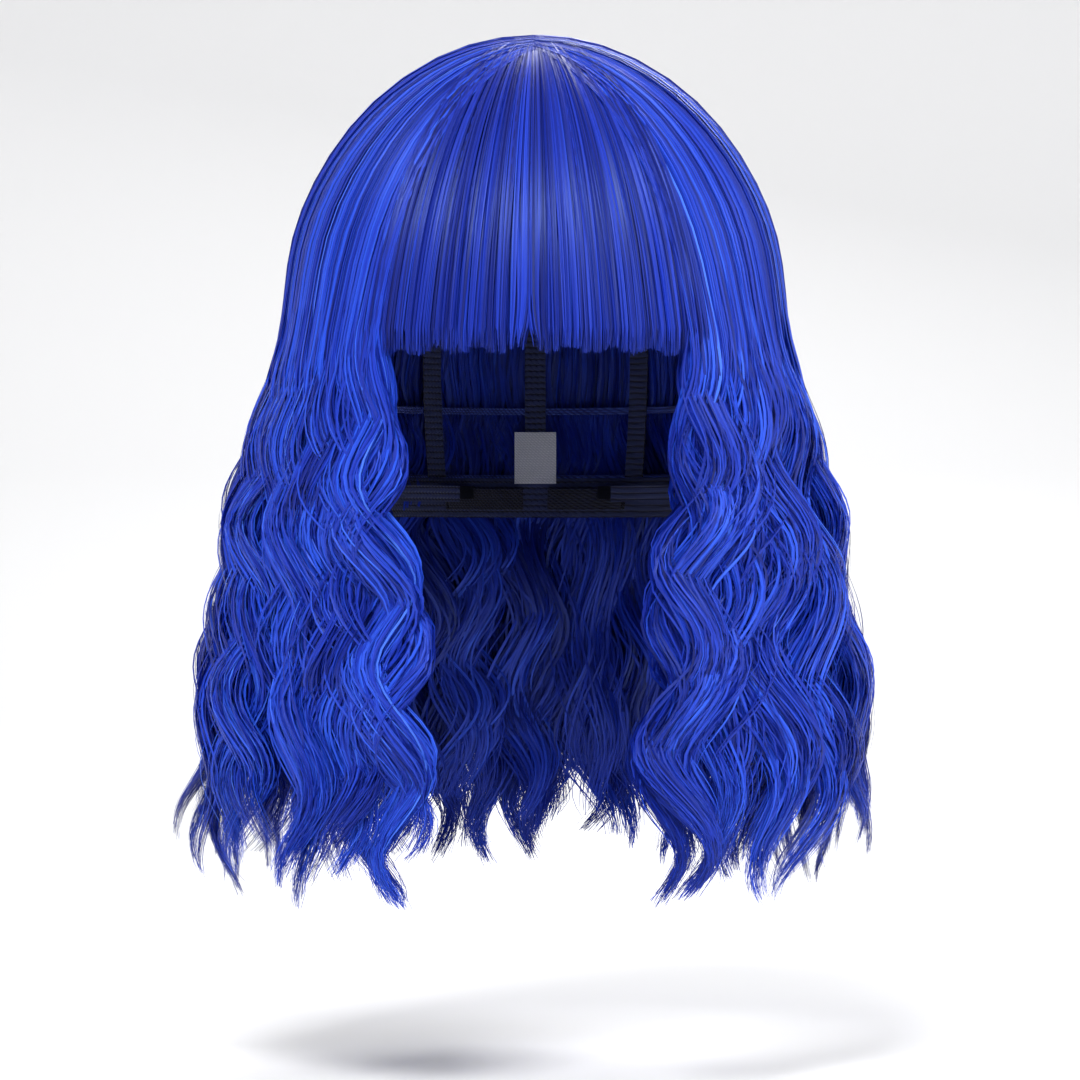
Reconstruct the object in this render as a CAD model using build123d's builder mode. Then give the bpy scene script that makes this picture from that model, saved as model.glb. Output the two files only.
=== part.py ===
from build123d import *

# Costume wig: a shoulder-length wavy bob with a full fringe and a short centre parting.
#
# The wig is a net cap with hair on it. The cap is a crown net, a front band, two stiffened ear tabs,
# a nape band and upright elastic ribs. Hair is sewn to it in rows, each row a stitched header tape with
# its own curtain of hair, and the outermost hair falls from a skin patch at the parting. Inside the cap
# are two nape straps that hook into pocket tapes, two snap clips at the temples and a blank label.
#
# Frame: millimetres, +Z up, the face looks along -Y, the wearer's left is +X. The origin is the point
# inside the crown where the top of the head rests.

import os
from math import asin, atan2, cos, degrees, hypot, radians, sin, sqrt

# ---------------------------------------------------------------- driving sizes
# The cap, measured inside
CAP_HALF_WIDTH = 76.0
CAP_HALF_DEPTH = 95.0
CROWN_HEIGHT = 96.0  # crown down to the widest part of the head
NAPE_REACH = 160.0  # how slowly the cap draws in below its widest part
FABRIC = 0.8  # thickness of the net, bands and tabs
SEAM = 0.3  # clearance between sewn pieces
# The cap's edge in side view: drops are heights below the crown, the others run back from the face
BROW_DROP = 58.0
TAB_TOP_DROP = 80.0  # also the lower edge of the crown net
EAR_DROP = 92.0
TAB_DROP = 118.0
NAPE_DROP = 163.0
BAND_WIDTH = 15.0
TEMPLE_FROM_BROW = 29.0  # where the front band turns down
TAB_FROM_BROW = 47.0
TAB_WIDTH = 20.0
EAR_WIDTH = 40.0
NAPE_FROM_BACK = 49.0  # where the nape band levels out
# Hair
HEADER_THICK = 1.0
HEADER_HEIGHT = 2.6
HAIR_GAP = 0.8  # between neighbouring curtains of hair
FRINGE_DROP = 103.0
FRINGE_HALF_ANGLE = 32.0
PARTING_LENGTH = 62.0
PARTING_FRONT = 44.0  # how far in front of the crown the parting starts
CROWN_LOFT = 12.0  # hair standing over the crown
SIDE_LOFT = 17.0
BACK_LOFT = 20.0
BROW_LOFT = 13.0
# Nape adjusters, a pair of straps whose hooks run in pocket tapes that follow the nape
TAPE_DROP = 160.0  # the foot of the pocket tapes
TAPE_HEIGHT = 8.0
LEAF = 0.6  # each fabric leaf of a pocket tape, and the hook's metal
RUN = 0.4  # running clearance of a hook in its tape
TAPE_FROM = 5.0  # degrees from the middle of the nape
TAPE_TO = 38.0
HOOK_AT = 30.0  # with its strap slack
HOOK_TURN = 7.0
HOOK_TRAVEL = 16.0  # about 14 mm along the nape
HOOK_LEG = 5.0
STRAP_WIDTH = 6.0
STRAP_THICK = 0.7
STRAP_TURN = 8.0  # degrees that a strap curves before it runs straight
STRAP_SEWN_AT = 132.0  # azimuth where its far end is sewn to the nape band
# Snap clips at the temples
CLIP_WIDTH = 30.0
CLIP_HEIGHT = 13.0
CLIP_METAL = 0.7
CLIP_BAR = 2.2
CLIP_AZIMUTH = 50.0
CLIP_DROP = 66.0
CLIP_STAND = 2.6  # how far the flat clip stands inside the curved cap
CLIP_PIN_RADIUS = 0.4
CLIP_PIN_PLAY = 0.05
CLIP_PIN_HEIGHT = 1.9  # over the frame's outer face
CLIP_LUG = 2.4
CLIP_TEETH = 8
TOOTH_WIDTH = 1.0
TOOTH_THICK = 0.5
SLEEVE_WALL = 0.35
SLEEVE_PLAY = 0.1
# Small sewn pieces
STAY_WIDTH = 5.0
STAY_THICK = 0.8
SKIN_WIDTH = 30.0
LABEL_WIDTH = 16.0
LABEL_HEIGHT = 20.0
LABEL_THICK = 0.4

# The hair below the cap's widest part: how far down, then how far its inner and outer faces stand
# from the cap's own half-width, half-depth behind and half-depth in front
HANG = [
    (38.0, (0.6, 0.6, -11.0), (28.0, 26.0, 7.0)),
    (82.0, (-4.0, -7.0, -21.0), (39.0, 33.0, 0.0)),
    (127.0, (4.0, -3.0, -27.0), (46.0, 38.0, -5.0)),
    (162.0, (10.0, 2.0, -29.0), (49.0, 40.0, -7.0)),
    (199.0, (12.0, 4.0, -31.0), (40.0, 32.0, -11.0)),
]
DOME_STATIONS = [0.06, 0.24, 0.43, 0.62, 0.81, 1.0]  # shares of the way from the crown to the widest part
ROW_LEAD = 0.25  # a row already lifts the hair over it this far above its own header
ROW_RISE = 0.85  # and reaches its full thickness over this stretch

# Rows of hair, innermost first: how far below the crown each header is sewn
SIDE_ROWS = [82.0, 54.0]
BACK_ROWS = [148.0, 122.0, 92.0, 60.0]
FRINGE_ROWS = [46.0]
SIDE_START = FRINGE_HALF_ANGLE + 1.0
FRONT_LOCK_END = 62.0
SIDE_END = 118.0
SECTOR_GAP = 0.5  # degrees between neighbouring sectors
ROW_SHORTER = 6.0  # each row further in ends this much higher

RIB_ANGLES = [128.0, 154.0, 180.0, 206.0, 232.0]
RIB_WIDTH = 8.0

squeeze = CAP_HALF_WIDTH / CAP_HALF_DEPTH  # the cap is round in plan, narrowed by this along X
big = 3 * (CAP_HALF_WIDTH + CAP_HALF_DEPTH)
os.makedirs("parts", exist_ok=True)


def finish(part, name):
    """Labels a piece and writes it to its own file."""
    part.label = name
    export_step(part, f"parts/{name}.step")


# ---------------------------------------------------------------- the cap's surface
def cap_radius(drop, offset=0.0):
    """Plan radius of the cap before narrowing, this far below the crown and this far outside it."""
    rise = CROWN_HEIGHT - drop
    reach = CROWN_HEIGHT + offset if rise > 0 else NAPE_REACH
    return (CAP_HALF_DEPTH + offset) * sqrt(max(0.0, 1 - (rise / reach) ** 2))


def cap_shell(inner, outer, lowest, arc=360.0, start=0.0):
    """The cap's wall between two offsets, from the crown down to a height, over part of a turn."""
    with BuildPart() as shell:
        with BuildSketch(Plane.XZ):
            with BuildLine():
                faces = []
                for offset in (inner, outer):
                    radius = CAP_HALF_DEPTH + offset
                    foot = cap_radius(lowest, offset)
                    angle = degrees(asin((lowest - CROWN_HEIGHT) / NAPE_REACH))
                    EllipticalCenterArc((0, -CROWN_HEIGHT), radius, CROWN_HEIGHT + offset, 0, arc_size=90)
                    EllipticalCenterArc((0, -CROWN_HEIGHT), radius, NAPE_REACH, -angle, arc_size=angle)
                    faces.append((foot, -lowest))
                Line(*faces)
                Line((0, inner), (0, outer))
            make_face()
        revolve(axis=Axis.Z, revolution_arc=arc)
    wall = shell.part.rotate(Axis.Z, start)
    return scale(wall, by=(squeeze, 1, 1))


def cut_to_outline(wall, points, x_from=-big, x_to=big):
    """The part of a wall that lies inside an outline drawn in side view, as (y, z) points."""
    with BuildPart() as piece:
        add(wall)
        with BuildSketch(Plane.YZ.offset(x_from)):
            with BuildLine():
                Polyline(*points, close=True)
            make_face()
        extrude(amount=x_to - x_from, mode=Mode.INTERSECT)
    return piece.part



# ---------------------------------------------------------------- the hair's two faces
def blend(value):
    """0 below 0, 1 above 1, and a smooth step between."""
    value = min(1.0, max(0.0, value))
    return value * value * (3 - 2 * value)


def plan_radius(azimuth, side, back, front):
    """Radius of a plan oval at an azimuth, 0 being the face and 180 the back of the head."""
    depth = front if cos(radians(azimuth)) > 0 else back
    return 1 / hypot(sin(radians(azimuth)) / side, cos(radians(azimuth)) / depth)


def dome_point(share, azimuth, crown, side, back, front):
    """A point of an egg-shaped dome, a share of the way from its crown to its widest part."""
    radius = plan_radius(azimuth, CAP_HALF_WIDTH + side, CAP_HALF_DEPTH + back, CAP_HALF_DEPTH + front)
    turn = share * 90
    return (radius * sin(radians(turn)), (CROWN_HEIGHT + crown) * cos(radians(turn)) - CROWN_HEIGHT)


def hang_point(row, face, azimuth):
    """A point of the hair's inner (1) or outer (2) face below the cap's widest part."""
    drop, offsets = HANG[row][0], HANG[row][face]
    side, back, front = offsets
    radius = plan_radius(azimuth, CAP_HALF_WIDTH + side, CAP_HALF_DEPTH + back, CAP_HALF_DEPTH + front)
    return (radius, -CROWN_HEIGHT - drop)


UNDER_HAIR = FABRIC + SEAM + HEADER_THICK + SEAM  # where the hair starts, outside the cap


def faces_at(station, azimuth):
    """The hair's inner and outer points at a station: up to 1 on the dome, then the rows of HANG."""
    if station <= 1:
        inner = dome_point(station, azimuth, UNDER_HAIR, UNDER_HAIR, UNDER_HAIR, UNDER_HAIR)
        return inner, dome_point(station, azimuth, CROWN_LOFT, SIDE_LOFT, BACK_LOFT, BROW_LOFT)
    if station <= len(HANG) + 1:
        row, share = int(station - 1), (station - 1) % 1
        ends = []
        for face in (1, 2):
            above = hang_point(row - 1, face, azimuth) if row else faces_at(1.0, azimuth)[face - 1]
            below = hang_point(min(row, len(HANG) - 1), face, azimuth)
            ends.append(tuple(a + (b - a) * share for a, b in zip(above, below)))
        return tuple(ends)
    raise ValueError("there is no such station")


def header_station(drop):
    """The station where a header at this height lies on the cap."""
    if drop < CROWN_HEIGHT:
        return degrees(atan2(sqrt(1 - ((CROWN_HEIGHT - drop) / CROWN_HEIGHT) ** 2),
                             (CROWN_HEIGHT - drop) / CROWN_HEIGHT)) / 90
    return 1 + (drop - CROWN_HEIGHT) / HANG[0][0] if drop < CROWN_HEIGHT + HANG[0][0] else         2 + (drop - CROWN_HEIGHT - HANG[0][0]) / (HANG[1][0] - HANG[0][0])


def cover(station, rows, count):
    """How much of the hair's thickness the innermost rows fill at a station."""
    shares = [blend((station - header_station(row) + ROW_LEAD) / ROW_RISE) for row in rows] + [1.0]
    return sum(shares[:count]) / sum(shares)


def curtain_outline(azimuth, rows, layer, last, lift):
    """Outer and inner points of one layer of hair in the upright plane at an azimuth."""
    first = header_station(rows[layer]) if layer < len(rows) else DOME_STATIONS[0]
    stations = [first] + [s for s in DOME_STATIONS if s > first + 0.06]
    stations += [s for s in range(2, last + 2) if s > first + 0.3]
    outer, inner = [], []
    for station in stations:
        (in_r, in_z), (out_r, out_z) = faces_at(station, azimuth)
        thick = hypot(out_r - in_r, out_z - in_z)
        low = cover(station, rows, layer) + HAIR_GAP / 2 / thick
        high = cover(station, rows, layer + 1) - HAIR_GAP / 2 / thick
        if station == stations[-1]:
            in_z, out_z = in_z + lift, out_z + lift
        inner.append((in_r + (out_r - in_r) * low, in_z + (out_z - in_z) * low))
        outer.append((in_r + (out_r - in_r) * high, in_z + (out_z - in_z) * high))
    return outer, inner


def fan_plane(azimuth, origin=(0, 0, 0)):
    """The upright plane through an origin whose x runs outwards at an azimuth."""
    across, ahead = sin(radians(azimuth)), cos(radians(azimuth))
    return Plane(origin=origin, x_dir=(across, -ahead, 0), z_dir=(-ahead, -across, 0))


def curtain(start, end, rows, layer, last=len(HANG), lift=0.0):
    """One layer of hair between two azimuths, as a loft through upright sections."""
    count = max(3, round(abs(end - start) / 16) + 1)
    with BuildPart() as hair:
        for step in range(count):
            azimuth = start + (end - start) * step / (count - 1)
            outer, inner = curtain_outline(azimuth, rows, layer, last, lift)
            with BuildSketch(fan_plane(azimuth)):
                with BuildLine():
                    Spline(*outer)
                    Line(outer[-1], inner[-1])
                    Spline(*reversed(inner))
                    Line(inner[0], outer[0])
                make_face()
        loft()
    return hair.part



# ---------------------------------------------------------------- cap: net, bands, tabs and ribs
# Side view outlines, as (y, z) points. The brow is the front of the cap, the back its rear.
brow = -CAP_HALF_DEPTH
temple = (brow + TEMPLE_FROM_BROW, -BROW_DROP)
temple_top = (temple[0] + BAND_WIDTH, -(BROW_DROP - BAND_WIDTH))
tab_front = brow + TAB_FROM_BROW
tab_back = tab_front + TAB_WIDTH
ear_back = tab_back + EAR_WIDTH
nape_front = CAP_HALF_DEPTH - NAPE_FROM_BACK
nape_top = NAPE_DROP - BAND_WIDTH
band_slant = BAND_WIDTH * 0.8  # the nape band's width where it slants down behind the ear

net_outline = [
    (-big, temple_top[1] + SEAM), (temple_top[0], temple_top[1] + SEAM),
    (tab_front + BAND_WIDTH + SEAM, -TAB_TOP_DROP + SEAM), (big, -TAB_TOP_DROP + SEAM),
    (big, big), (-big, big),
]
front_band_outline = [
    (-big, -BROW_DROP), temple, (tab_front, -TAB_TOP_DROP),
    (tab_front + BAND_WIDTH, -TAB_TOP_DROP), temple_top, (-big, temple_top[1]),
]
tab_outline = [
    (tab_front, -TAB_TOP_DROP - SEAM), (tab_front + 2, -TAB_DROP + 4), (tab_front + 5, -TAB_DROP),
    (tab_back - 7, -TAB_DROP), (tab_back - 3, -TAB_DROP + 4), (tab_back, -EAR_DROP - 2),
    (tab_back, -TAB_TOP_DROP - SEAM),
]
nape_band_outline = [
    (tab_back + SEAM, -TAB_TOP_DROP - SEAM), (tab_back + SEAM, -EAR_DROP), (ear_back, -EAR_DROP),
    (nape_front, -NAPE_DROP), (big, -NAPE_DROP), (big, -nape_top),
    (nape_front + band_slant, -nape_top), (ear_back + band_slant, -TAB_TOP_DROP - SEAM),
]
open_back_outline = [
    (ear_back + band_slant + SEAM, -TAB_TOP_DROP - SEAM), (nape_front + band_slant + SEAM, -nape_top + SEAM),
    (big, -nape_top + SEAM), (big, -TAB_TOP_DROP - SEAM),
]

whole_wall = cap_shell(0, FABRIC, NAPE_DROP + 6)
finish(cut_to_outline(whole_wall, net_outline), "crown_net")
finish(cut_to_outline(whole_wall, front_band_outline), "front_band")
finish(cut_to_outline(whole_wall, nape_band_outline), "nape_band")
finish(cut_to_outline(whole_wall, tab_outline, x_from=0), "left_ear_tab")
finish(cut_to_outline(whole_wall, tab_outline, x_to=0), "right_ear_tab")

# Bendable stays, each lying on the outside of its ear tab
stay_wall = cap_shell(FABRIC + SEAM / 2, FABRIC + SEAM / 2 + STAY_THICK, TAB_DROP + 6)
stay_middle = tab_front + TAB_WIDTH * 0.42
stay_outline = [
    (stay_middle + side * STAY_WIDTH / 2, -height)
    for side, height in ((-1, TAB_TOP_DROP + 6), (-1, TAB_DROP - 6), (1, TAB_DROP - 6), (1, TAB_TOP_DROP + 6))
]
finish(cut_to_outline(stay_wall, stay_outline, x_from=0), "left_ear_stay")
finish(cut_to_outline(stay_wall, stay_outline, x_to=0), "right_ear_stay")

# Upright elastic ribs across the open back of the cap
open_back = cut_to_outline(whole_wall, open_back_outline)
for number, azimuth in enumerate(RIB_ANGLES, start=1):
    with BuildPart() as rib:
        add(open_back)
        with BuildSketch(Plane.XY.offset(-NAPE_DROP)):
            with Locations(Rot(0, 0, azimuth - 90) * Pos(big / 2, 0)):
                Rectangle(big, RIB_WIDTH)
        extrude(amount=NAPE_DROP, mode=Mode.INTERSECT)
    finish(rib.part, f"back_rib_{number}")

# Skin patch that shows in the parting, on top of the net
with BuildPart() as skin:
    add(cap_shell(FABRIC + SEAM, FABRIC + SEAM + HEADER_THICK, TAB_DROP))
    with BuildSketch():
        with Locations((0, PARTING_LENGTH / 2 - PARTING_FRONT)):
            SlotOverall(PARTING_LENGTH, SKIN_WIDTH, rotation=90)
    extrude(amount=CROWN_HEIGHT / 2, both=True, mode=Mode.INTERSECT)
finish(skin.part, "parting_skin")


# ---------------------------------------------------------------- header tapes
def round_azimuth(azimuth):
    """The azimuth before the cap is narrowed that ends up at this one."""
    return degrees(atan2(sin(radians(azimuth)), squeeze * cos(radians(azimuth)))) % 360


def header(drop, start, end):
    """A stitched header tape on the outside of the cap, this far below the crown, between azimuths."""
    low, high = drop + HEADER_HEIGHT / 2, drop - HEADER_HEIGHT / 2
    inner, outer = FABRIC + SEAM, FABRIC + SEAM + HEADER_THICK
    arc = (round_azimuth(end) - round_azimuth(start)) % 360
    with BuildPart() as tape:
        with BuildSketch(Plane.XZ):
            with BuildLine():
                Polyline(
                    (cap_radius(low, inner), -low), (cap_radius(low, outer), -low),
                    (cap_radius(high, outer), -high), (cap_radius(high, inner), -high), close=True,
                )
            make_face()
        revolve(axis=Axis.Z, revolution_arc=arc)
    return scale(tape.part.rotate(Axis.Z, round_azimuth(start) - 90), by=(squeeze, 1, 1))


for number, drop in enumerate(SIDE_ROWS, start=1):
    left_tape = header(drop, SIDE_START + 2, SIDE_END - 1)
    finish(left_tape, f"left_side_header_{number}")
    finish(mirror(left_tape, about=Plane.YZ), f"right_side_header_{number}")
for number, drop in enumerate(BACK_ROWS, start=1):
    finish(header(drop, SIDE_END + 1, 359 - SIDE_END), f"back_header_{number}")
for number, drop in enumerate(FRINGE_ROWS, start=1):
    finish(header(drop, 361 - FRINGE_HALF_ANGLE, FRINGE_HALF_ANGLE - 1), f"fringe_header_{number}")

# ---------------------------------------------------------------- hair
for layer in range(len(SIDE_ROWS)):
    lift = ROW_SHORTER * (len(SIDE_ROWS) - layer)
    row_hair = curtain(SIDE_START, SIDE_END, SIDE_ROWS, layer, lift=lift)
    finish(row_hair, f"left_side_hair_{layer + 1}")
    finish(mirror(row_hair, about=Plane.YZ), f"right_side_hair_{layer + 1}")

back_start, back_end = SIDE_END + SECTOR_GAP, 360 - SIDE_END - SECTOR_GAP
for layer in range(len(BACK_ROWS)):
    lift = ROW_SHORTER * (len(BACK_ROWS) - layer)
    finish(curtain(back_start, back_end, BACK_ROWS, layer, lift=lift), f"back_hair_{layer + 1}")

crown_sectors = {
    "front_lock": (SIDE_START, FRONT_LOCK_END, SIDE_ROWS),
    "crown_side_hair": (FRONT_LOCK_END + SECTOR_GAP, SIDE_END, SIDE_ROWS),
    "crown_back_hair": (back_start, 180 - SECTOR_GAP / 2, BACK_ROWS),
}
for place, (start, end, rows) in crown_sectors.items():
    crown_hair = curtain(start, end, rows, len(rows))
    finish(crown_hair, f"left_{place}")
    finish(mirror(crown_hair, about=Plane.YZ), f"right_{place}")


def fringe_layer(layer):
    """One layer of the fringe: it lies on the brow and ends level, above the eyes."""
    half = FRINGE_HALF_ANGLE
    with BuildPart() as hair:
        for azimuth in (-half, -half / 2, 0, half / 2, half):
            outer, inner = curtain_outline(azimuth, FRINGE_ROWS, layer, 0, 0)
            for face in (outer, inner):
                face.append((face[-1][0], -FRINGE_DROP))
            with BuildSketch(fan_plane(azimuth)):
                with BuildLine():
                    Spline(*outer)
                    Line(outer[-1], inner[-1])
                    Spline(*reversed(inner))
                    Line(inner[0], outer[0])
                make_face()
        loft()
    return hair.part


finish(fringe_layer(0), "fringe_hair_under")
finish(fringe_layer(1), "fringe_hair_top")


# ---------------------------------------------------------------- nape adjusters
# The nape is nearly round about this upright line, so the tapes and hooks are arcs about it.
nape_axis_y = cap_radius(TAPE_DROP - TAPE_HEIGHT / 2) * (1 - squeeze ** 2)
nape_axis = Axis((0, nape_axis_y, 0), (0, 0, 1))
nape_foot = cap_radius(TAPE_DROP) - nape_axis_y
nape_lean = (cap_radius(TAPE_DROP - TAPE_HEIGHT) - cap_radius(TAPE_DROP)) / TAPE_HEIGHT


def nape_arc(outline, from_turn, to_turn):
    """A piece that follows the left half of the nape, between two turns from its middle. Its outline
    is (inset from the cap, height above the tape's foot) points and leans with the cap."""
    points = [
        (nape_foot + nape_lean * height - inset, -TAPE_DROP + height) for inset, height in outline
    ]
    with BuildPart() as piece:
        with BuildSketch(fan_plane(180 - to_turn, origin=(0, nape_axis_y, 0))):
            with BuildLine():
                Polyline(*points, close=True)
            make_face()
        revolve(axis=nape_axis, revolution_arc=to_turn - from_turn)
    return piece.part


channel_out = SEAM + LEAF  # the channel's two walls, as insets from the cap
channel_in = channel_out + LEAF + 2 * RUN
tape_in = channel_in + LEAF
tape_profile = [
    (SEAM, 0), (tape_in, 0), (tape_in, TAPE_HEIGHT), (channel_in, TAPE_HEIGHT),
    (channel_in, LEAF), (channel_out, LEAF), (channel_out, TAPE_HEIGHT), (SEAM, TAPE_HEIGHT),
]
hook_top = TAPE_HEIGHT + RUN + LEAF
hook_out = channel_out + RUN
hook_in = tape_in + RUN + LEAF
hook_profile = [
    (hook_out, hook_top), (hook_out, hook_top - HOOK_LEG), (hook_out + LEAF, hook_top - HOOK_LEG),
    (hook_out + LEAF, hook_top - LEAF), (hook_in - LEAF, hook_top - LEAF),
    (hook_in - LEAF, hook_top - HOOK_LEG), (hook_in, hook_top - HOOK_LEG), (hook_in, hook_top),
]
tape = nape_arc(tape_profile, TAPE_FROM, TAPE_TO)
finish(tape, "left_pocket_tape")
finish(mirror(tape, about=Plane.YZ), "right_pocket_tape")
hook = nape_arc(hook_profile, HOOK_AT - HOOK_TURN / 2, HOOK_AT + HOOK_TURN / 2)
finish(hook, "left_hook")
finish(mirror(hook, about=Plane.YZ), "right_hook")

# Each strap starts beside its hook, curves with the nape and then runs straight to where it is sewn
strap_from = radians(HOOK_AT + HOOK_TURN / 2 + degrees(SEAM / nape_foot))
strap_to = strap_from + radians(STRAP_TURN)
strap_radius = nape_foot - hook_in + LEAF
strap_foot = TAPE_DROP - hook_top + STRAP_WIDTH
sewn_radius = plan_radius(
    STRAP_SEWN_AT, *(cap_radius(strap_foot) * share - SEAM - STRAP_THICK for share in (squeeze, 1, 1))
)
sewn_turn = radians(180 - STRAP_SEWN_AT)
with BuildPart() as strap:
    with BuildSketch(Plane.XY.offset(-strap_foot)):
        with BuildLine():
            bend = [
                (strap_radius * sin(turn), nape_axis_y + strap_radius * cos(turn))
                for turn in (strap_from, (strap_from + strap_to) / 2, strap_to)
            ]
            curve = ThreePointArc(*bend)
            Line(curve @ 1, (sewn_radius * sin(sewn_turn), sewn_radius * cos(sewn_turn)))
        trace(line_width=STRAP_THICK)
    extrude(amount=STRAP_WIDTH)
finish(strap.part, "left_strap")
finish(mirror(strap.part, about=Plane.YZ), "right_strap")

# ---------------------------------------------------------------- snap clips
# A clip lies flat inside the cap's curve. Its plane has x along the brow and z towards the head.
half_width, half_depth = (cap_radius(CLIP_DROP) * share for share in (squeeze, 1))
clip_radius = plan_radius(CLIP_AZIMUTH, half_width, half_depth, half_depth)
clip_x, clip_y = clip_radius * sin(radians(CLIP_AZIMUTH)), -clip_radius * cos(radians(CLIP_AZIMUTH))
inwards = Vector(
    -clip_x / half_width ** 2, -clip_y / half_depth ** 2, -(CROWN_HEIGHT - CLIP_DROP) / CROWN_HEIGHT ** 2
).normalized()
clip_place = Vector(clip_x, clip_y, -CLIP_DROP) + inwards * CLIP_STAND
clip_plane = Plane(origin=clip_place, x_dir=Vector(0, 0, 1).cross(inwards), z_dir=inwards)

opening_width, opening_height = CLIP_WIDTH - 2 * CLIP_BAR, CLIP_HEIGHT - 2 * CLIP_BAR
hinge_y = opening_height / 2 - CLIP_LUG / 2
lug_x = opening_width / 2 + CLIP_METAL / 2
with BuildPart() as clip_frame:
    with BuildSketch():
        RectangleRounded(CLIP_WIDTH, CLIP_HEIGHT, CLIP_BAR)
        Rectangle(opening_width, opening_height, mode=Mode.SUBTRACT)
    extrude(amount=CLIP_METAL)
    for side in (-1, 1):
        with BuildSketch(Plane.YZ.offset(side * lug_x - CLIP_METAL / 2)):
            with Locations((hinge_y, CLIP_PIN_HEIGHT)):
                Circle(CLIP_LUG / 2)
            with Locations((hinge_y, CLIP_PIN_HEIGHT / 2)):
                Rectangle(CLIP_LUG, CLIP_PIN_HEIGHT)
            with Locations((hinge_y, CLIP_PIN_HEIGHT)):
                Circle(CLIP_PIN_RADIUS + CLIP_PIN_PLAY, mode=Mode.SUBTRACT)
        extrude(amount=CLIP_METAL)

comb_length = opening_width - 2 * SEAM
tooth_length = hinge_y + CLIP_HEIGHT / 2
with BuildPart() as clip_comb:
    with BuildSketch(Plane.XY.offset(CLIP_PIN_HEIGHT - TOOTH_THICK / 2)):
        with Locations((0, hinge_y)):
            Rectangle(comb_length, CLIP_LUG / 2)
        with Locations((0, hinge_y - tooth_length / 2)):
            with GridLocations(comb_length * 0.9 / (CLIP_TEETH - 1), 1, CLIP_TEETH, 1):
                RectangleRounded(TOOTH_WIDTH, tooth_length, TOOTH_WIDTH * 0.45)
    extrude(amount=TOOTH_THICK)
    with BuildSketch(Plane.YZ.offset(-CLIP_WIDTH / 2 + CLIP_BAR / 2)):
        with Locations((hinge_y, CLIP_PIN_HEIGHT)):
            Circle(CLIP_PIN_RADIUS)
    extrude(amount=CLIP_WIDTH - CLIP_BAR)

with BuildPart() as clip_sleeve:
    with BuildSketch(Plane.YZ.offset(-comb_length / 2)):
        with Locations(((CLIP_BAR - CLIP_HEIGHT) / 2, CLIP_METAL / 2)):
            bar_width, bar_thick = CLIP_BAR + 2 * SLEEVE_PLAY, CLIP_METAL + 2 * SLEEVE_PLAY
            RectangleRounded(bar_width + 2 * SLEEVE_WALL, bar_thick + 2 * SLEEVE_WALL, SLEEVE_WALL)
            Rectangle(bar_width, bar_thick, mode=Mode.SUBTRACT)
    extrude(amount=comb_length)

for name, piece in (("frame", clip_frame), ("comb", clip_comb), ("sleeve", clip_sleeve)):
    placed = piece.part.moved(clip_plane.location)
    finish(placed, f"left_clip_{name}")
    finish(mirror(placed, about=Plane.YZ), f"right_clip_{name}")

# ---------------------------------------------------------------- blank label inside the nape
label_foot = TAPE_DROP - hook_top - 1
with BuildPart() as label:
    add(cap_shell(-SEAM - LABEL_THICK, -SEAM, NAPE_DROP))
    with BuildSketch(Plane.XZ.offset(-big)):
        with Locations((0, LABEL_HEIGHT / 2 - label_foot)):
            Rectangle(LABEL_WIDTH, LABEL_HEIGHT)
    extrude(amount=big, mode=Mode.INTERSECT)
finish(label.part, "size_label")
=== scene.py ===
import math

import bmesh
import bpy
import numpy as np
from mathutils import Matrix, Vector
from mathutils.bvhtree import BVHTree


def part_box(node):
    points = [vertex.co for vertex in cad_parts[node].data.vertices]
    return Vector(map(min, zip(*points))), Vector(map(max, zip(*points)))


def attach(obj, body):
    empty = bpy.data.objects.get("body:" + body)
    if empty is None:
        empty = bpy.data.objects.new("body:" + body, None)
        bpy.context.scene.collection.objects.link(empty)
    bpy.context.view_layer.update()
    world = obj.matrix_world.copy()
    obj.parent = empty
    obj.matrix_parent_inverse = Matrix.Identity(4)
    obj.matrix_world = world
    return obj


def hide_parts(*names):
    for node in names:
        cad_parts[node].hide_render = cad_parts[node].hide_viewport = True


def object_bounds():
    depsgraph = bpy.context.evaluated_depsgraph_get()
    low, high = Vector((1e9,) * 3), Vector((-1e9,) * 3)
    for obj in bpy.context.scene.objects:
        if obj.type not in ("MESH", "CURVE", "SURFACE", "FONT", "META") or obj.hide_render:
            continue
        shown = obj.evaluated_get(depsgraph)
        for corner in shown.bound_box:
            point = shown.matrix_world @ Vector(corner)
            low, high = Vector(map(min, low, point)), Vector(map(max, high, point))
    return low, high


# The frame: the wig's cap, hair rows, straps and clips, in metres, with the crown at the origin
# and the face towards -Y.
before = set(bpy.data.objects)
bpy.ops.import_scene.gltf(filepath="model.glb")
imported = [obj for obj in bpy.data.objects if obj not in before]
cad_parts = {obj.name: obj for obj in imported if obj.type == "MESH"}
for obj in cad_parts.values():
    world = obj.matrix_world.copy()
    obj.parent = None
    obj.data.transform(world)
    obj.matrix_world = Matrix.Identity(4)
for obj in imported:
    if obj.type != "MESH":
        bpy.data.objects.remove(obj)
cad_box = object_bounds()
mm = 0.001


# ---------------------------------------------------------------- hair fibre
# Every row of hair is drawn modacrylic fibre, dyed royal blue in the melt. It is smooth and glossy. Its base
# colour is partly painted light:
# random streaks and tones run from a painted shadow navy to a painted highlight blue, so painted bright lines lie
# along the locks and painted dark gaps between them, and each row's tone is offset, lighter on the crown layer as
# a painted highlight and darker on the fringe and the rows underneath as painted shade.


def linear(colour):
    """A hex sRGB colour as linear red, green, blue and alpha."""
    parts = [int(colour[i:i + 2], 16) / 255 for i in (1, 3, 5)]
    return [p / 12.92 if p <= 0.04045 else ((p + 0.055) / 1.055) ** 2.4 for p in parts] + [1.0]


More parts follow.
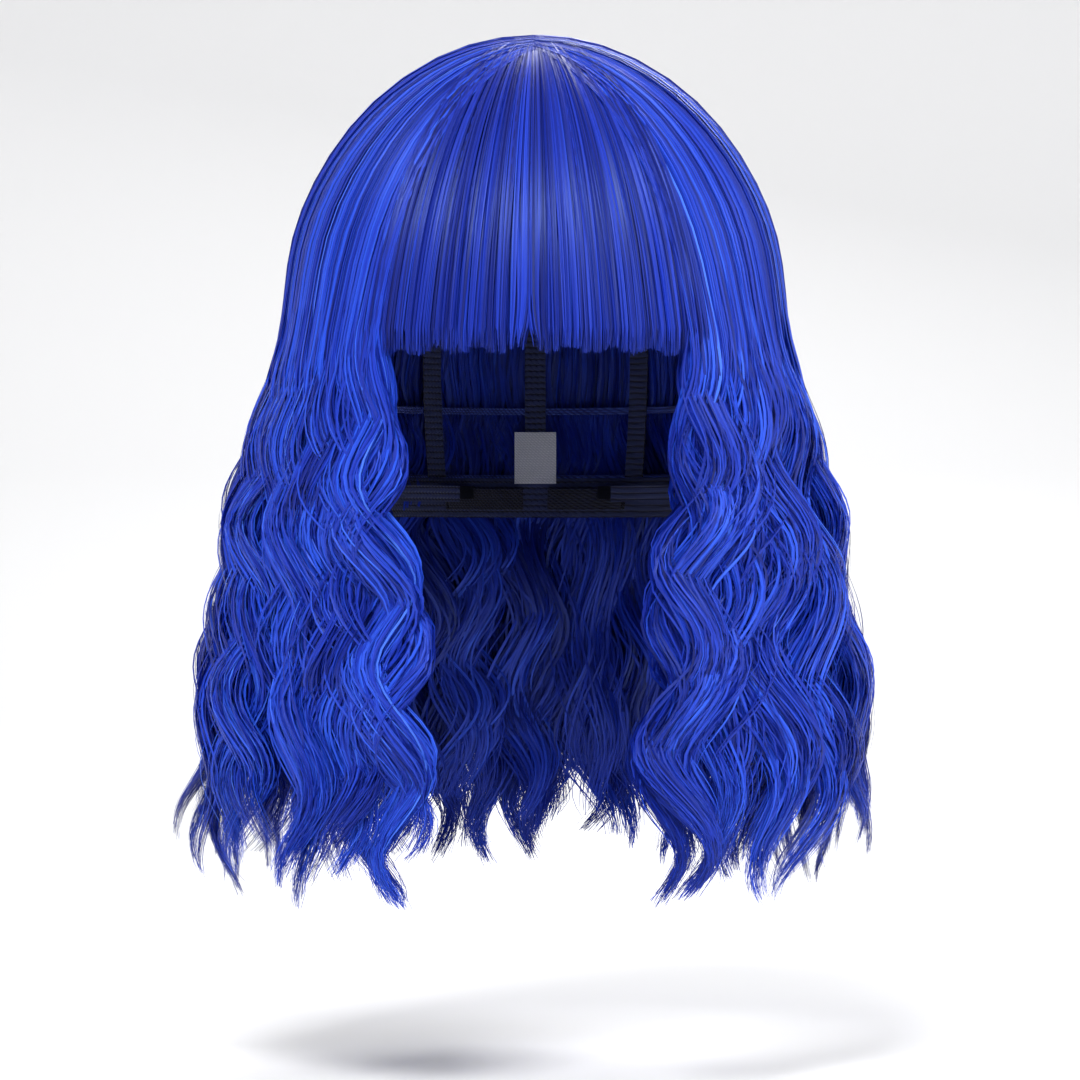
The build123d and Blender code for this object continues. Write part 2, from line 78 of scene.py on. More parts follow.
def add_node(tree, kind, links=(), **settings):
    """Adds a shader node. links pairs an input with the socket that feeds it; settings are properties,
    or values of inputs where the name is one of the node's inputs."""
    node = tree.nodes.new(kind)
    for name, value in settings.items():
        if hasattr(node, name):
            setattr(node, name, value)
        else:
            node.inputs[name.replace("_", " ")].default_value = value
    for name, socket in links:
        tree.links.new(socket, node.inputs[name])
    return node


def new_material(name, **values):
    """A material with a Principled surface whose constant inputs are given by name."""
    material = bpy.data.materials.new(name)
    material.use_nodes = True
    surface = material.node_tree.nodes["Principled BSDF"]
    for key, value in values.items():
        surface.inputs[key.replace("_", " ")].default_value = value
    return material, material.node_tree, surface


def ramp(tree, source, stops):
    """A colour ramp of (position, hex colour) stops."""
    node = add_node(tree, "ShaderNodeValToRGB", [("Fac", source)])
    elements = node.color_ramp.elements
    while len(elements) < len(stops):
        elements.new(0.5)
    for element, (position, colour) in zip(elements, stops):
        element.position = position
        element.color = linear(colour)
    return node.outputs["Color"]


FIBRE_WIDTH = 0.9 * mm  # a ribbon of fibres lying side by side
FIBRES_IN_RIBBON = 4

fibre, tree, surface = new_material(
    "modacrylic_fibre", IOR=1.52, Roughness=0.38, Specular_IOR_Level=0.5,
)
surface.inputs["Specular Tint"].default_value = linear("#a9c4ff")
uv = add_node(tree, "ShaderNodeUVMap", uv_map="UVMap")
split = add_node(tree, "ShaderNodeSeparateXYZ", [("Vector", uv.outputs["UV"])])
# The tone attribute holds each ribbon's random tone plus its row's offset: a painted highlight on the crown layer,
# and painted shade on the fringe and on the rows under the crown.
tone = add_node(tree, "ShaderNodeAttribute", attribute_name="tone")
own = add_node(tree, "ShaderNodeAttribute", attribute_name="ribbon")
across = add_node(
    tree, "ShaderNodeMath", [(0, split.outputs["Y"]), (2, own.outputs["Fac"])], operation="MULTIPLY_ADD"
)
across.inputs[1].default_value = FIBRES_IN_RIBBON
spread = add_node(
    tree, "ShaderNodeCombineXYZ", [("X", across.outputs[0]), ("Y", split.outputs["X"])]
)
streaks = add_node(
    tree, "ShaderNodeTexNoise", [("Vector", spread.outputs[0])], noise_dimensions="2D", Scale=1.0, Detail=2.0
)
shade = add_node(
    tree, "ShaderNodeMath", [(0, streaks.outputs["Fac"]), (2, tone.outputs["Fac"])], operation="MULTIPLY_ADD"
)
shade.inputs[1].default_value = 0.5
# Painted shade and highlight: the lowest stop is a painted shadow navy and the highest a painted highlight blue,
# with the fibre's own blues between them.
blues_painted_shadow_to_highlight = [(0.05, "#090e5a"), (0.4, "#172fac"), (0.7, "#2c59e4"), (1.0, "#6496fb")]
colour = ramp(tree, shade.outputs[0], blues_painted_shadow_to_highlight)
tree.links.new(colour, surface.inputs["Base Color"])
bump = add_node(tree, "ShaderNodeBump", [("Height", streaks.outputs["Fac"])], Strength=0.5, Distance=0.3 * mm)
tree.links.new(bump.outputs["Normal"], surface.inputs["Normal"])

# ---------------------------------------------------------------- cap fabrics
# The cap is knitted net with woven bands and elastic, dyed navy so that it disappears under the hair.
# A coarse weave shows as small ribs across the bands, and the elastic has bold cords along it.


def woven(name, dark, light, thread, cords=None):
    """A woven fabric: crossed threads of a given width, with raised cords every so often if it is elastic."""
    material, tree, surface = new_material(name, Roughness=0.82, Sheen_Weight=0.25, Sheen_Roughness=0.5)
    place = add_node(tree, "ShaderNodeTexCoord").outputs["Object"]
    scale = 1 / (2 * thread)
    weft, warp = (
        add_node(
            tree, "ShaderNodeTexWave", [("Vector", place)], bands_direction=way, Scale=scale / 3, Distortion=0.6
        )
        for way in ("Z", "DIAGONAL")
    )
    both = add_node(
        tree, "ShaderNodeMath", [(0, weft.outputs["Fac"]), (1, warp.outputs["Fac"])], operation="MULTIPLY"
    ).outputs[0]
    if cords:
        cord = add_node(
            tree, "ShaderNodeTexWave", [("Vector", place)], bands_direction="Z", Scale=1 / (6 * cords)
        )
        both = add_node(
            tree, "ShaderNodeMath", [(0, both), (1, cord.outputs["Fac"])], operation="ADD", use_clamp=True
        ).outputs[0]
    blotch = add_node(tree, "ShaderNodeTexNoise", [("Vector", place)], Scale=90.0, Detail=3.0)
    worn = add_node(tree, "ShaderNodeMath", [(0, blotch.outputs["Fac"]), (2, both)], operation="MULTIPLY_ADD")
    worn.inputs[1].default_value = 0.5
    tree.links.new(ramp(tree, worn.outputs[0], [(0.15, dark), (1.1, light)]), surface.inputs["Base Color"])
    relief = add_node(tree, "ShaderNodeBump", [("Height", both)], Strength=0.7, Distance=thread)
    tree.links.new(relief.outputs["Normal"], surface.inputs["Normal"])
    return material


def dress(node, material):
    """Gives a CAD node its real material, on the object's own slots, so that its mesh stays as it is."""
    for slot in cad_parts[node].material_slots:
        slot.link = "OBJECT"
        slot.material = material


band_cloth = woven("woven_band", "#0b1038", "#2a3a7c", 0.7 * mm)
elastic = woven("woven_elastic", "#070a24", "#26315f", 0.6 * mm, cords=1.2 * mm)
weft_tape = woven("stitched_weft", "#101c66", "#3553b8", 0.5 * mm)
pocket_cloth = woven("pocket_tape", "#06071a", "#1d2445", 0.5 * mm)
for node in ("front_band", "left_ear_tab", "right_ear_tab"):
    dress(node, band_cloth)
for node in ["nape_band", "left_strap", "right_strap"] + [f"back_rib_{n}" for n in range(1, 6)]:
    dress(node, elastic)
for node in [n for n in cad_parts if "_header_" in n]:
    dress(node, weft_tape)
for node in ("left_pocket_tape", "right_pocket_tape"):
    dress(node, pocket_cloth)

# ---------------------------------------------------------------- crown net
# The top of the cap is a knitted stretch net of fine cords knotted into small cells. It is one ball of
# net cut off level, so its cells get no smaller towards the edge.
NET_CORD = 0.55 * mm
NET_MIDDLE = -98.5 * mm
NET_TOP_RADIUS = 97 * mm
FRONT_CUT = (0, -44 * mm, -44 * mm)  # the net stops here, behind the front band
net_low, net_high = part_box("crown_net")
front_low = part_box("front_band")[0]
ball = bmesh.new()
bmesh.ops.create_icosphere(ball, subdivisions=5, radius=1)
half_width = (net_high.x - net_low.x) / 2
half_depth = (net_high.y - front_low.y) / 2
bmesh.ops.scale(ball, vec=(half_width, half_depth, net_high.z + NET_TOP_RADIUS), verts=ball.verts)
bmesh.ops.translate(ball, vec=(0, 0, NET_MIDDLE), verts=ball.verts)
for place, normal in (((0, 0, net_low.z), (0, 0, -1)), (FRONT_CUT, (0, -0.7, -0.72))):
    bmesh.ops.bisect_plane(
        ball, geom=ball.verts[:] + ball.edges[:] + ball.faces[:],
        plane_co=place, plane_no=normal, clear_outer=True,
    )
bmesh.ops.dissolve_limit(ball, angle_limit=0.0001, verts=ball.verts, edges=ball.edges)
bmesh.ops.wireframe(
    ball, faces=ball.faces, thickness=NET_CORD, offset=0, use_replace=True, use_boundary=True,
    use_even_offset=False, use_crease=False,
)
net_mesh = bpy.data.meshes.new("crown_net_knit")
ball.to_mesh(net_mesh)
ball.free()
net_cord = woven("net_cord", "#0a0f3a", "#2c3c86", 0.4 * mm)
net_mesh.materials.append(net_cord)
net = bpy.data.objects.new("crown_net_knit", net_mesh)
bpy.context.scene.collection.objects.link(net)
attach(net, "wig")
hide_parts("crown_net")

# ---------------------------------------------------------------- parting skin
# A patch of fine mesh under the parting, tinted so that the line between the two sides looks like a scalp
# of the hair's own colour.
skin = woven("tinted_mesh", "#27419c", "#6f8fd8", 0.5 * mm)
dress("parting_skin", skin)

# ---------------------------------------------------------------- stays, hooks, clips and label
# Small hardware: clear nylon stays in the ear tabs, moulded acetal hooks, sprung clips of black
# lacquered steel with a grey silicone sleeve, and a plain satin label.


def moulded(name, colour, roughness, grain, **values):
    """A smooth moulded or coated surface with a faint grain of a given size."""
    material, tree, surface = new_material(name, **values)
    place = add_node(tree, "ShaderNodeTexCoord").outputs["Object"]
    grains = add_node(tree, "ShaderNodeTexNoise", [("Vector", place)], Scale=1 / grain, Detail=3.0)
    low, high = roughness
    rough = add_node(tree, "ShaderNodeMapRange", [("Value", grains.outputs["Fac"])], To_Min=low, To_Max=high)
    tree.links.new(rough.outputs["Result"], surface.inputs["Roughness"])
    shades = ramp(tree, grains.outputs["Fac"], [(0.3, colour[0]), (0.7, colour[1])])
    tree.links.new(shades, surface.inputs["Base Color"])
    relief = add_node(
        tree, "ShaderNodeBump", [("Height", grains.outputs["Fac"])], Strength=0.15, Distance=0.05 * mm
    )
    tree.links.new(relief.outputs["Normal"], surface.inputs["Normal"])
    return material


nylon = moulded("clear_nylon", ("#b9bcc4", "#d4d6dc"), (0.3, 0.45), 1.5 * mm, IOR=1.53)
acetal = moulded("black_acetal", ("#0d0e12", "#1d1f27"), (0.25, 0.4), 0.8 * mm, IOR=1.48)
lacquered_steel = moulded("lacquered_steel", ("#0a0a0d", "#1b1c22"), (0.18, 0.35), 0.6 * mm, Coat_Weight=0.6)
silicone = moulded("silicone_sleeve", ("#8f959e", "#a9aeb7"), (0.45, 0.6), 1.0 * mm, IOR=1.41)
satin = woven("label_satin", "#c9cbd6", "#f0f0f4", 0.35 * mm)
for side in ("left", "right"):
    dress(f"{side}_ear_stay", nylon)
    dress(f"{side}_hook", acetal)
    dress(f"{side}_clip_frame", lacquered_steel)
    dress(f"{side}_clip_comb", lacquered_steel)
    dress(f"{side}_clip_sleeve", silicone)
dress("size_label", satin)

# ---------------------------------------------------------------- reading a row's shape from the frame
# A row hangs between an inner and an outer face. Both are read along rays from the middle of the head:
# station 0 is the crown, 1 is level with the ear tabs, and each further station is 100 mm lower.
middle_z = sum(corner.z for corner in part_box("left_ear_tab")) / 2
AZIMUTH_STEP = 3
STATION_STEP = 0.05
DROP = 100 * mm
REACH = 400 * mm  # rays start and stop well outside the hair
azimuths = np.arange(0, 360, AZIMUTH_STEP) + AZIMUTH_STEP / 2
stations = np.arange(0, 3.1, STATION_STEP)


def start_and_way(azimuth, station):
    """Where rays start and which way they go, for arrays of azimuths in degrees and stations."""
    turn = np.radians(np.minimum(station, 1) * 90)
    out = np.sin(turn)
    way = np.stack(
        [out * np.sin(np.radians(azimuth)), -out * np.cos(np.radians(azimuth)), np.cos(turn)], -1
    )
    start = np.zeros_like(way)
    start[..., 2] = middle_z - np.maximum(station - 1, 0) * DROP
    return start, way


def filled(values):
    """Closes the gaps in a table of distances, first down each column of stations, then round the head."""
    for line in values:
        known = np.flatnonzero(~np.isnan(line))
        if len(known):
            line[:] = np.interp(np.arange(len(line)), known, line[known])
    known = np.flatnonzero(~np.isnan(values[:, 0]))
    round_head = len(values)
    nearest = [
        min(known, key=lambda k: min(abs(k - i), round_head - abs(k - i))) for i in range(round_head)
    ]
    return values[nearest]


def faces_of(names):
    """The distances to the inner and outer faces of some rows, by azimuth and station."""
    solids = bmesh.new()
    for name in names:
        solids.from_mesh(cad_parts[name].data)
    surface_tree = BVHTree.FromBMesh(solids)
    solids.free()
    faces = np.full((2, len(azimuths), len(stations)), np.nan)
    starts, ways = start_and_way(azimuths[:, None] + 0.0 * stations, stations + 0.0 * azimuths[:, None])
    for i, j in np.ndindex(len(azimuths), len(stations)):
        start, way = Vector(starts[i, j]), Vector(ways[i, j])
        inside = surface_tree.ray_cast(start, way, REACH)[3]
        outside = surface_tree.ray_cast(start + way * REACH, -way, REACH)[3]
        if inside is not None and outside is not None:
            faces[:, i, j] = inside, REACH - outside
    return np.stack([filled(side) for side in faces])


def on_row(faces, azimuth, station, depth):
    """Points in a row of hair: a share of the way from its inner face to its outer one."""
    i = (azimuth - azimuths[0]) % 360 / AZIMUTH_STEP
    j = np.clip(station / STATION_STEP, 0, len(stations) - 1.001)
    i0, j0 = i.astype(int), j.astype(int)
    fi, fj = i - i0, j - j0
    i1 = (i0 + 1) % len(azimuths)
    i0 = i0 % len(azimuths)
    inner, outer = (
        (side[i0, j0] * (1 - fi) + side[i1, j0] * fi) * (1 - fj)
        + (side[i0, j0 + 1] * (1 - fi) + side[i1, j0 + 1] * fi) * fj
        for side in faces
    )
    start, way = start_and_way(azimuth, station)
    return start + way * (inner + (outer - inner) * depth)[..., None]


# ---------------------------------------------------------------- combing fibres into locks
# The hair is set in loose S-waves: it is straight on the crown, gathers into locks level with the ears
# and ends in ragged points. Ribbons of fibre follow their lock, each a little differently.
WAVE_LENGTH = 62 * mm
WAVE_HEIGHT = 7.4 * mm
FACE_EDGE = 32  # degrees either side of the nose that the hair leaves open below the fringe
INTO_FACE = 7 * mm
CLOSE_IN = 6  # degrees that the front locks come in under the cheeks


def smooth_step(value, low, high):
    share = np.clip((value - low) / (high - low), 0, 1)
    return share * share * (3 - 2 * share)


def make_locks(rng, start, end, spacing, tiers, tip):
    """Locks of a row as a dictionary of arrays, in tiers one over the other."""
    per_tier = max(2, round((end - start) / spacing))
    count = per_tier * tiers
    tier = np.repeat(np.arange(tiers), per_tier)
    place = np.tile((np.arange(per_tier) + 0.5) / per_tier, tiers)
    centre = start + (end - start) * place + rng.uniform(-0.3, 0.3, count) * spacing
    return {
        "tier": tier,
        "centre": np.clip(centre, start + spacing * 0.2, end - spacing * 0.2),
        "depth": (tier + rng.uniform(0.3, 0.7, count)) / tiers,
        "phase": 1.1 * tier + 1.6 * np.sin(centre / 14) + rng.uniform(-0.75, 0.75, count),
        "height": WAVE_HEIGHT * rng.uniform(0.55, 1.25, count),
        "length": WAVE_LENGTH * rng.uniform(0.9, 1.2, count),
        "lean": rng.uniform(-1.1, 1.1, count),
        "drift": rng.uniform(-4, 4, count),
        "flick": rng.uniform(-5, 11, count) * mm,
        "tip": tip + rng.uniform(-0.24, 0.1, count),
        "tone": rng.uniform(-0.14, 0.14, count),
    }


def ribbons(name, points, widths, rows_material, tones_with_painted_light, outwards, rng):
    """One mesh of ribbons along arrays of points, each turned to face outwards with some play."""
    count, length = points.shape[:2]
    line = bpy.data.curves.new(name, "CURVE")
    line.dimensions = "3D"
    line.extrude = FIBRE_WIDTH / 2
    shape = np.concatenate([points, np.ones((count, length, 1))], -1).astype(np.float32)
    for ribbon in range(count):
        spline = line.splines.new("POLY")
        spline.points.add(length - 1)
        spline.points.foreach_set("co", shape[ribbon].ravel())
        spline.points.foreach_set("radius", widths[ribbon].astype(np.float32))
        spline.use_smooth = True
    holder = bpy.data.objects.new(name, line)
    bpy.context.scene.collection.objects.link(holder)

    def as_mesh():
        graph = bpy.context.evaluated_depsgraph_get()
        return bpy.data.meshes.new_from_object(holder.evaluated_get(graph))

    flat = as_mesh()
    corners = np.empty(len(flat.vertices) * 3, np.float32)
    flat.vertices.foreach_get("co", corners)
    corners = corners.reshape(count, length, 2, 3)
    bpy.data.meshes.remove(flat)
    side = corners[:, :, 1] - corners[:, :, 0]
    along = np.gradient(points, axis=1)
    along /= np.linalg.norm(along, axis=-1, keepdims=True)
    wanted = np.cross(along, outwards)
    turn = np.arctan2((np.cross(side, wanted) * along).sum(-1), (side * wanted).sum(-1))
    turn = np.unwrap(turn, axis=1, period=math.pi) + rng.normal(0, 0.35, (count, 1))
    for ribbon in range(count):
        line.splines[ribbon].points.foreach_set("tilt", turn[ribbon].astype(np.float32))
    holder.data.update_tag()
    mesh = as_mesh()
    bpy.data.objects.remove(holder)
    mesh.name = name
    mesh.materials.clear()
    mesh.materials.append(rows_material)
    for key, values in (("tone", tones_with_painted_light), ("ribbon", rng.uniform(0, 40, count))):
        layer = mesh.attributes.new(key, "FLOAT", "POINT")
        layer.data.foreach_set("value", np.repeat(values, length * 2).astype(np.float32))
    piece = bpy.data.objects.new(name, mesh)
    bpy.context.scene.collection.objects.link(piece)
    return piece


def comb(rng, faces, locks, azimuth, station, own_azimuth, depth, lock):
    """Points of ribbons that start straight and gather into their locks."""
    count, length = station.shape
    gather = smooth_step(station, 0.95, 2.2) * rng.uniform(0.15, 0.7, (count, 1))
    gather = gather + (0.85 - gather) * smooth_step(station, 2.3, 2.95)
    to_lock = (locks["centre"][lock] - own_azimuth)[:, None]
    sway = locks["drift"][lock][:, None] * smooth_step(station, 1.0, 2.8)
    closing = CLOSE_IN * smooth_step(station, 1.3, 2.4)
    inwards = closing * (1 - smooth_step(own_azimuth, FACE_EDGE, 80))[:, None]
    azimuth = np.maximum(azimuth + to_lock * gather + sway, np.minimum(azimuth, FACE_EDGE + 1)) - inwards
    lock_depth = locks["depth"][lock][:, None]
    depth = depth[:, None] + (lock_depth - depth[:, None]) * gather
    points = on_row(faces, azimuth, station, depth)
    below = (station - 1) * DROP
    swing = smooth_step(station, 0.85, 1.7)
    phase = locks["phase"][lock] + rng.normal(0, 0.22, count)
    height = locks["height"][lock] * rng.uniform(0.88, 1.12, count)
    turn = 2 * math.pi * below / locks["length"][lock][:, None] + phase[:, None]
    lean = locks["lean"][lock][:, None]
    radius = np.linalg.norm(points[..., :2], axis=-1)
    room = INTO_FACE + np.maximum(np.radians(azimuth - FACE_EDGE + closing), 0) * radius
    sideways = np.maximum(swing * height[:, None] * np.sin(turn), -room)
    flick = locks["flick"][lock][:, None] * smooth_step(station, 2.4, 3.0)
    outwards = swing * height[:, None] * 0.55 * np.sin(turn + lean) + flick
    stray = rng.uniform(0, 2 * math.pi, (count, 1))
    loose = np.where(rng.random((count, 1)) < 0.05, 3.2, 0.6) * mm
    frizz = swing * loose * np.sin(turn * 1.7 + stray)
    angle = np.radians(azimuth)
    tangent = np.stack([np.cos(angle), np.sin(angle), 0 * angle], -1)
    out = np.stack([np.sin(angle), -np.cos(angle), 0 * angle], -1)
    points = points + tangent * (sideways + frizz)[..., None] + out * outwards[..., None]
    rise = np.cos(np.radians(np.minimum(station, 1) * 90))
    facing = out * np.sqrt(1 - rise[..., None] ** 2) + np.array([0, 0, 1]) * rise[..., None]
    return points, facing


def ribbon_widths(rng, count, length):
    share = np.linspace(0, 1, length)
    taper = smooth_step(share, -0.02, 0.06) * (1 - 0.8 * smooth_step(share, 0.8, 1.0))
    return taper[None, :] * rng.uniform(0.4, 1.3, (count, 1))


def pick_locks(rng, locks, azimuth, spacing):
    """The lock that each ribbon joins: one of the nearest in a tier."""
    tier = rng.integers(0, locks["tier"].max() + 1, len(azimuth))
    away = np.abs(locks["centre"][None, :] - (azimuth + rng.normal(0, 0.25 * spacing, len(azimuth)))[:, None])
    away[locks["tier"][None, :] != tier[:, None]] = 1e3
    return away.argmin(1)


LOCK_SPACING = 12
POINTS_BELOW = 40
POINTS_ABOVE = 14


# ---------------------------------------------------------------- crown layer
# The outermost hair is knotted along the parting and combed away from it to both sides and the back.
parting_low, parting_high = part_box("parting_skin")
PARTING_END = 14 * mm
crown_rows = {
    "front_lock": (31.0, 62.0, 1500),
    "crown_side_hair": (62.0, 118.0, 1700),
    "crown_back_hair": (118.0, 182.0, 1700),
}
crown_names = [f"{side}_{place}" for side in ("left", "right") for place in crown_rows]
crown_faces = faces_of(crown_names + ["fringe_hair_top"])
crown_faces = np.median([np.roll(crown_faces, step, 1) for step in (-2, -1, 0, 1, 2)], axis=0)
curtain = np.flatnonzero(azimuths > FACE_EDGE + 1)[0]
crown_faces[:, :curtain, stations > 1.1] = crown_faces[:, curtain:curtain + 1, stations > 1.1]


def direction(azimuth, station):
    return start_and_way(azimuth, station)[1]


def crown_course(rng, count, start, end, root_front, root_back, tip):
    """Azimuths and stations along ribbons that leave the parting sideways and bend down."""
    place = (np.arange(count) + rng.uniform(0, 1, count)) / count
    azimuth = start + (end - start) * place
    root_y = root_front + (root_back - root_front) * place
    root = np.stack([rng.uniform(-1.2, 1.2, count) * mm, root_y, np.full(count, -middle_z)], -1)
    root /= np.linalg.norm(root, axis=-1, keepdims=True)
    goal = direction(azimuth, np.ones(count))
    sideways = (0.04 + 0.53 * smooth_step(azimuth, 31, 100)) * (1 - smooth_step(azimuth, 100, 172))
    bend = root * 0.75 + sideways[:, None] * np.array([1, 0, 0]) + goal * 0.3
    bend /= np.linalg.norm(bend, axis=-1, keepdims=True)
    share = np.linspace(0, 1, POINTS_ABOVE, endpoint=False)[None, :, None]
    way = root[:, None] * (1 - share) ** 2 + bend[:, None] * 2 * share * (1 - share) + goal[:, None] * share ** 2
    way /= np.linalg.norm(way, axis=-1, keepdims=True)
    above = np.degrees(np.arctan2(way[..., 0], -way[..., 1]))
    above_station = np.degrees(np.arccos(np.clip(way[..., 2], -1, 1))) / 90
    below_station = 1 + (tip[:, None] - 1) * np.linspace(0, 1, POINTS_BELOW)[None, :]
    below = np.repeat(azimuth[:, None], POINTS_BELOW, 1)
    return azimuth, np.concatenate([above, below], 1), np.concatenate([above_station, below_station], 1)


for number, (place, (start, end, count)) in enumerate(crown_rows.items()):
    for side, mirror in (("left", 1), ("right", -1)):
        rng = np.random.default_rng(10 * number + (mirror > 0))
        locks = make_locks(rng, start, end, LOCK_SPACING, 3, 2.93)
        root_share = [(start - 31) / 149, (end - 31) / 149]
        root_front, root_back = (
            parting_low.y + 2 * mm + (parting_high.y - PARTING_END - parting_low.y) * share for share in root_share
        )
        first = start + (end - start) * (np.arange(count) + 0.5) / count
        lock = pick_locks(rng, locks, first, LOCK_SPACING)
        edge = np.abs(first - locks["centre"][lock]) / LOCK_SPACING
        tip = locks["tip"][lock] - 0.12 * edge - rng.exponential(0.05, count)
        azimuth, course, station = crown_course(rng, count, start, end, root_front, root_back, tip)
        points, facing = comb(
            rng, crown_faces, locks, course, station, azimuth, rng.uniform(0.1, 1.0, count), lock
        )
        points[..., 0] *= mirror
        facing[..., 0] *= mirror
        # Painted highlight: the crown layer's tones are raised by 0.15, so that it reads lighter than the rows
        # under it; the rest is random tone by lock and by ribbon.
        tones_with_painted_light = 0.15 + locks["tone"][lock] + rng.normal(0, 0.12, count)
        name = f"{side}_{place}"
        piece = ribbons(
            f"{name}_fibres", points, ribbon_widths(rng, count, points.shape[1]), fibre, tones_with_painted_light, facing, rng
        )
        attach(piece, "wig")
        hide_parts(name)


# ---------------------------------------------------------------- fringe
# The fringe fans out from the front end of the parting and is cut level with the brows.
fringe_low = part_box("fringe_hair_top")[0]
FRINGE_ANGLE = 35.0
FRINGE_POINTS = 22
TUFT = 1.9  # degrees between the fine tufts that the cut ends fall into
GAP_AT = -1.0  # the fringe parts a little here, low down
for name, count in (("fringe_hair_under", 500), ("fringe_hair_top", 2300)):
    rng = np.random.default_rng(len(name))
    faces = faces_of([name])
    top = name.endswith("top")
    azimuth = np.linspace(-FRINGE_ANGLE, FRINGE_ANGLE, count) + rng.normal(0, 0.5, count)
    number = np.round(azimuth / TUFT + rng.normal(0, 0.3, count))
    tuft = (number + 0.3 * np.sin(number * 12.9)) * TUFT
    root_station = 0.26 if top else 0.7
    root = direction(azimuth * 0.6, np.full(count, root_station) - rng.uniform(0, 0.06, count))
    cut = 1 + (middle_z - fringe_low.z) / DROP + 0.006 * (np.abs(azimuth) / FRINGE_ANGLE) ** 2
    cut = cut + (0.045 if top else -0.02) + 0.012 * np.sin(number * 7.7)
    cut = np.maximum(cut - rng.exponential(0.028, count), 1.012)
    goal = direction(azimuth, np.ones(count))
    bend = direction(azimuth * 0.85, np.full(count, (1 + root_station) / 2 + 0.06))
    share = np.linspace(0, 1, FRINGE_POINTS - 4, endpoint=False)[None, :, None]
    way = root[:, None] * (1 - share) ** 2 + bend[:, None] * 2 * share * (1 - share) + goal[:, None] * share ** 2
    way /= np.linalg.norm(way, axis=-1, keepdims=True)
    above = np.degrees(np.arctan2(way[..., 0], -way[..., 1]))
    above_station = np.degrees(np.arccos(np.clip(way[..., 2], -1, 1))) / 90
    below_station = 1 + (cut[:, None] - 1) * np.linspace(0, 1, 4)[None, :]
    station = np.concatenate([above_station, below_station], 1)
    course = np.concatenate([above, np.repeat(azimuth[:, None], 4, 1)], 1)
    gather = smooth_step(station, 0.6, 1.04) * rng.uniform(0.1, 0.7, (count, 1))
    aside = np.sign(azimuth - GAP_AT) * np.exp(-((azimuth - GAP_AT) / 2.5) ** 2)
    course = course + (tuft - azimuth)[:, None] * gather + aside[:, None] * smooth_step(station, 0.93, 1.08) * 1.3
    depth = rng.uniform(0.05, 1.0, count)[:, None] + 0 * station
    points = on_row(faces, course, station, depth)
    angle = np.radians(course)
    rise = np.cos(np.radians(np.minimum(station, 1) * 90))[..., None]
    out = np.stack([np.sin(angle), -np.cos(angle), 0 * angle], -1)
    facing = out * np.sqrt(1 - rise ** 2) + np.array([0, 0, 1]) * rise
    # Painted shade: the fringe's tones sit low, so that it reads darker than the crown layer; the sine gives each
    # tuft a tone of its own.
    tones_with_painted_light = rng.normal(-0.02, 0.1, count) + 0.06 * np.sin(number * 5.1)
    piece = ribbons(
        f"{name}_fibres", points, ribbon_widths(rng, count, points.shape[1]), fibre, tones_with_painted_light, facing, rng
    )
    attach(piece, "wig")
    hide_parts(name)

# ---------------------------------------------------------------- rows under the crown layer
# Machine-sewn wefts hang from header tapes round the sides and back of the cap.
weft_rows = [(f"back_hair_{n}", f"back_header_{n}", 118.5, 241.5, 900, 1) for n in (1, 2, 3, 4)]
for side, mirror in (("left", 1), ("right", -1)):
    weft_rows += [(f"{side}_side_hair_{n}", f"{side}_side_header_{n}", 44.0, 118.0, 600, mirror) for n in (1, 2)]
ROW_POINTS = 44
for number, (name, header, start, end, count, mirror) in enumerate(weft_rows):
    rng = np.random.default_rng(100 + number)
    faces = faces_of([name.replace("right", "left")])
    header_low, header_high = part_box(header)
    header_z = (header_low.z + header_high.z) / 2
    if header_z > middle_z:
        root_station = math.degrees(math.acos((header_z - middle_z) / -middle_z)) / 90
    else:
        root_station = 1 + (middle_z - header_z) / DROP
    tip_station = 1 + (middle_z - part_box(name)[0].z) / DROP
    locks = make_locks(rng, start, end, LOCK_SPACING * 1.2, 2, tip_station)
    azimuth = start + (end - start) * (np.arange(count) + rng.uniform(0, 1, count)) / count
    lock = pick_locks(rng, locks, azimuth, LOCK_SPACING)
    tip = locks["tip"][lock] - rng.exponential(0.05, count)
    station = root_station + (tip[:, None] - root_station) * np.linspace(0, 1, ROW_POINTS)[None, :]
    course = np.repeat(azimuth[:, None], ROW_POINTS, 1)
    points, facing = comb(
        rng, faces, locks, course, station, azimuth, rng.uniform(0.05, 0.95, count), lock
    )
    points[..., 0] *= mirror
    facing[..., 0] *= mirror
    # Painted shade: the rows under the crown layer get a lower tone offset than the crown layer, so that they read
    # darker.
    tones_with_painted_light = 0.02 + locks["tone"][lock] + rng.normal(0, 0.06, count)
    piece = ribbons(
        f"{name}_fibres", points, ribbon_widths(rng, count, ROW_POINTS), fibre, tones_with_painted_light, facing, rng
    )
    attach(piece, "wig")
    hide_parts(name)

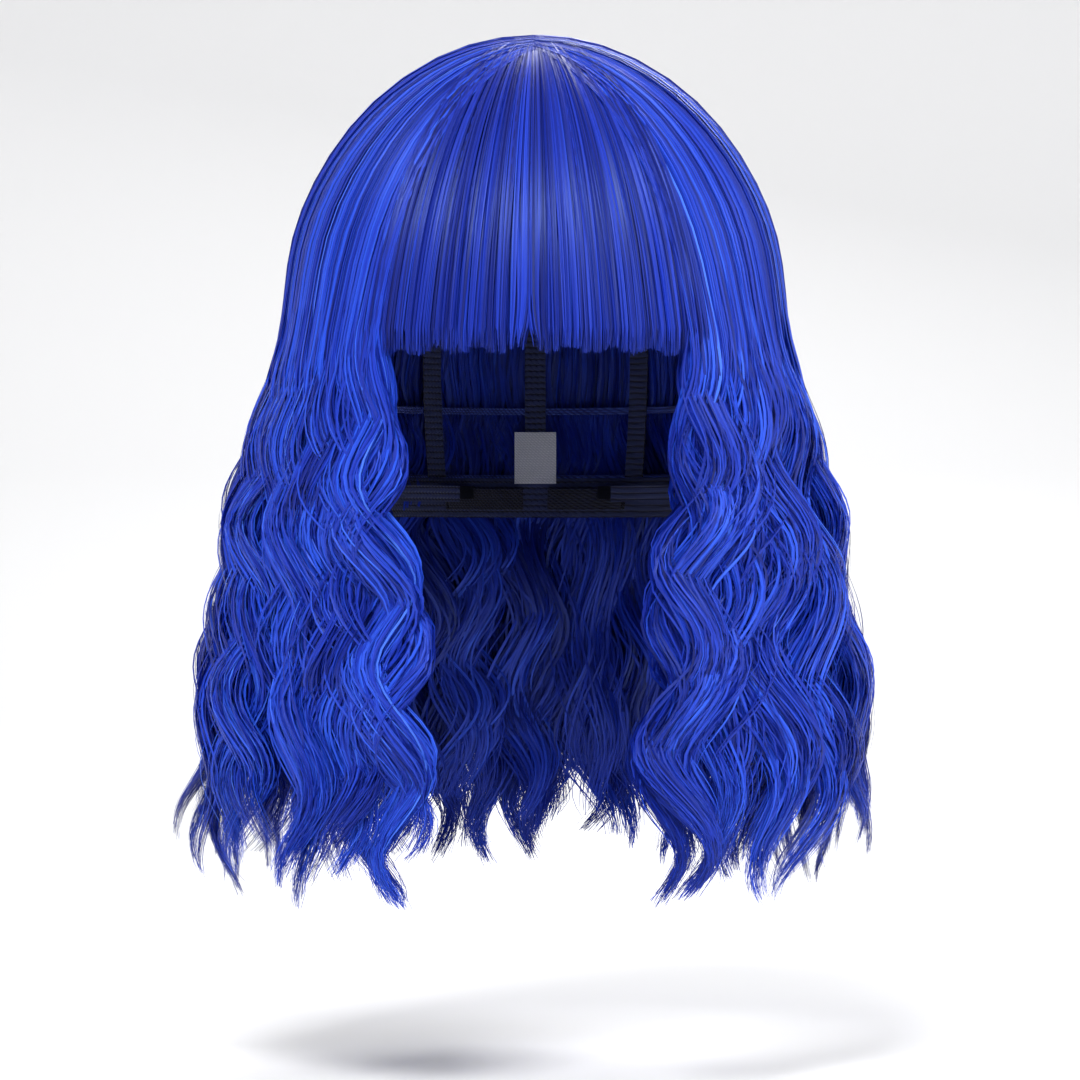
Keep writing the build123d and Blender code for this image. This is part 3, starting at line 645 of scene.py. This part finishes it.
# ---------------------------------------------------------------- studio
# A pale sweep of paper under and behind the wig, a soft key light over the camera, a fill from the right
# and a light from behind.
paper, tree, surface = new_material("studio_paper", Roughness=0.9)
surface.inputs["Base Color"].default_value = linear("#f4f4f5")
FLOOR = cad_box[0].z - 70 * mm
sweep = bmesh.new()
profile = [(-3.0, 0.0), (1.2, 0.0), (1.6, 0.06), (1.85, 0.25), (2.0, 0.6), (2.05, 3.0)]
edge = [sweep.verts.new((-4, y, FLOOR + z)) for y, z in profile]
for a, b in zip(edge, edge[1:]):
    sweep.edges.new((a, b))
pulled = bmesh.ops.extrude_edge_only(sweep, edges=sweep.edges[:])
bmesh.ops.translate(sweep, vec=(8, 0, 0), verts=[v for v in pulled["geom"] if isinstance(v, bmesh.types.BMVert)])
paper_mesh = bpy.data.meshes.new("studio_paper")
sweep.to_mesh(paper_mesh)
sweep.free()
paper_mesh.materials.append(paper)
for polygon in paper_mesh.polygons:
    polygon.use_smooth = True
paper_sheet = bpy.data.objects.new("studio_paper", paper_mesh)
bpy.context.scene.collection.objects.link(paper_sheet)

world = bpy.data.worlds.new("studio")
world.use_nodes = True
world.node_tree.nodes["Background"].inputs["Color"].default_value = linear("#ffffff")
world.node_tree.nodes["Background"].inputs["Strength"].default_value = 0.42
bpy.context.scene.world = world


def add_light(name, place, size, power):
    lamp = bpy.data.lights.new(name, "AREA")
    lamp.size = size
    lamp.energy = power
    holder = bpy.data.objects.new(name, lamp)
    holder.location = place
    aim = Vector((0, 0, -0.13)) - Vector(place)
    holder.rotation_euler = aim.to_track_quat("-Z", "Y").to_euler()
    bpy.context.scene.collection.objects.link(holder)


add_light("key_light", (-0.35, -1.3, 1.1), 0.6, 31)
add_light("right_fill", (1.4, -0.9, 0.5), 0.8, 14)
add_light("back_light", (0.3, 1.3, 0.9), 0.8, 16)

CAMERA_DISTANCE = 1.55
VIEW_WIDTH = 0.393
view_middle = Vector((1.8 * mm, 0, -0.1716))
camera = bpy.data.cameras.new("camera")
camera.sensor_width = 36
camera.lens = 18 / (VIEW_WIDTH / 2 / CAMERA_DISTANCE)
eye = bpy.data.objects.new("camera", camera)
eye.location = view_middle + Vector((0, -CAMERA_DISTANCE, 0))
eye.rotation_euler = (math.radians(90), 0, 0)
bpy.context.scene.collection.objects.link(eye)
bpy.context.scene.camera = eye
bpy.context.scene.view_settings.view_transform = "Standard"
